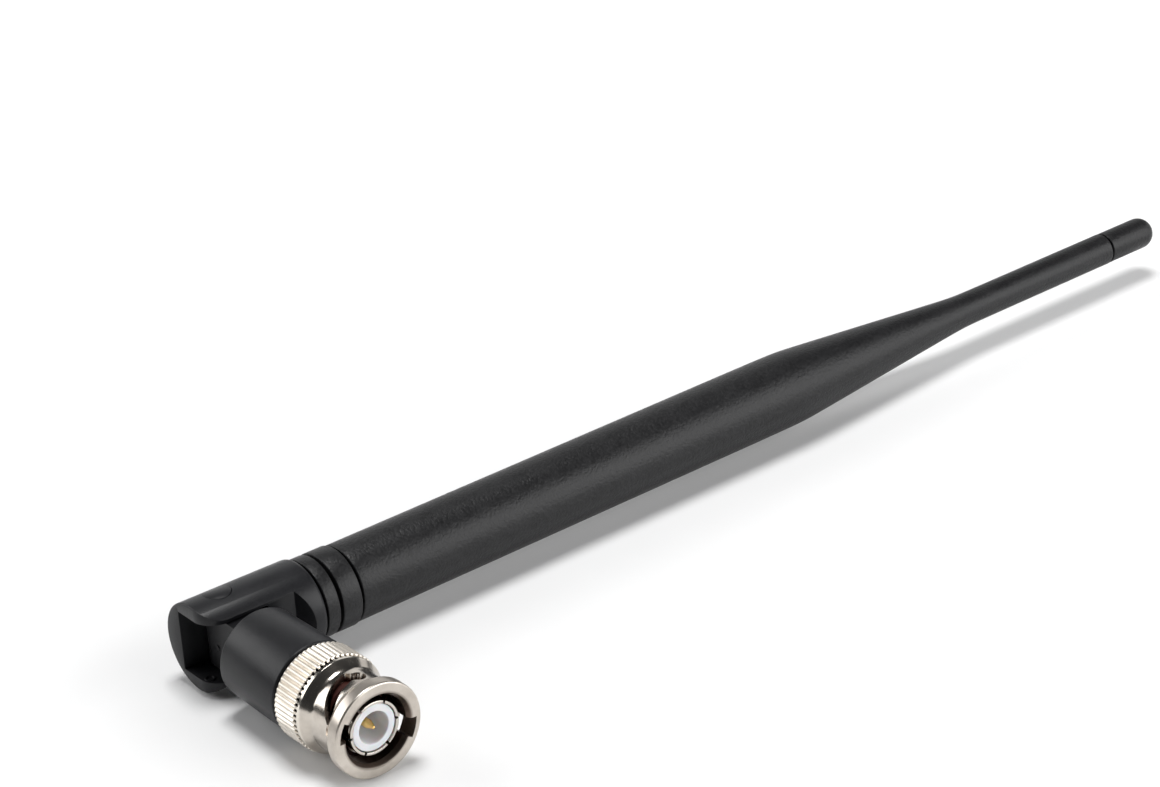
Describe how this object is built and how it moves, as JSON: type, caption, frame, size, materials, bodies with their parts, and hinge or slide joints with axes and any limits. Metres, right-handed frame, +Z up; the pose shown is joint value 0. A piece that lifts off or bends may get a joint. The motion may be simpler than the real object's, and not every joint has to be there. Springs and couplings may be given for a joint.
{
  "type": "omnidirectional antenna",
  "caption": "Black whip antenna with a tapering mast, an elbow that tilts 90 degrees and a bayonet coaxial plug with a turning knurled nut.",
  "frame": {"origin": "middle of the footprint, on the surface that the bent antenna lies on", "axes": "+X along the mast towards its tip, -Y along the plug towards its mating face, +Z up and along the elbow's hinge"},
  "size_m": [0.2036, 0.043, 0.0149],
  "materials": {
    "black_plastic": "satin",
    "nickel": "polished",
    "ptfe": "satin",
    "gold": "polished",
    "brass": "satin",
    "copper": "satin",
    "spring_steel": "satin",
    "silicone": "matte",
    "cable_jacket": "satin",
    "white_nylon": "matte"
  },
  "bodies": {
    "plug": {"outer_contact": "nickel", "insulator": "ptfe", "center_pin": "gold", "face_gasket": "silicone", "snap_ring": "spring_steel", "crimp_ferrule": "nickel", "coax_plug_end": "cable_jacket", "coax_elbow": "cable_jacket", "barrel": "black_plastic", "wave_spring": "spring_steel"},
    "nut_slide": {"thrust_washer": "spring_steel"},
    "nut": {"coupling_nut": "nickel"},
    "mast": {"fork_housing": "black_plastic", "hinge_pin_top": "black_plastic", "hinge_pin_bottom": "black_plastic", "lock_ring": "black_plastic", "collar": "black_plastic", "radome": "black_plastic", "tip_cap": "black_plastic", "coax_mast_end": "cable_jacket", "sleeve_radiator": "brass", "lower_spacer": "white_nylon", "upper_spacer": "white_nylon", "lower_wire": "copper", "phasing_coil": "copper", "coil_former": "white_nylon", "whip": "copper", "whip_bush": "white_nylon"}
  },
  "joints": [
    {"name": "elbow", "type": "hinge", "parent": "plug", "child": "mast", "pos_m": [-0.09531, 0.0155, 0.00745], "axis": [0, 0, 1], "range_deg": [0, 90], "deforming": ["coax_elbow"]},
    {"name": "nut_float", "type": "slide", "parent": "plug", "child": "nut_slide", "axis": [0, -1, 0], "range_m": [0, 0.0008], "stiffness_N_per_m": 500, "deforming": ["wave_spring"]},
    {"name": "nut_turn", "type": "hinge", "parent": "nut_slide", "child": "nut", "pos_m": [-0.09433, -0.0085, 0.00745], "axis": [0, -1, 0], "continuous": true}
  ]
}
